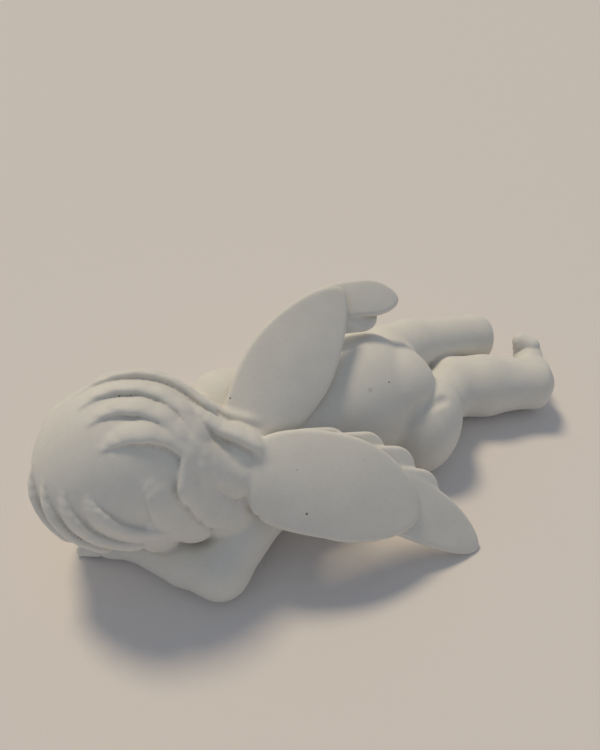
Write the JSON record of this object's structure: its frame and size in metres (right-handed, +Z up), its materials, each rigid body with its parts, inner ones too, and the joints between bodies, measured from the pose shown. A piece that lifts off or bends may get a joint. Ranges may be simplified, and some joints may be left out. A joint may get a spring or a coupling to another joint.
{
  "type": "porcelain angel figurine",
  "caption": "Bisque porcelain figurine of a winged child lying on its side with its head on one arm, a free-standing ornament that rests on flats under the hip, forearm and lower leg.",
  "frame": {"origin": "centre of the bounding box at the resting plane", "axes": "+X from the head towards the feet, the figure's longest way; +Y to the side that the face looks to; +Z up"},
  "size_m": [0.1486, 0.0754, 0.0477],
  "materials": {
    "bisque": "matte unglazed"
  },
  "bodies": {
    "root": {"angel_figure": "bisque"}
  },
  "joints": []
}
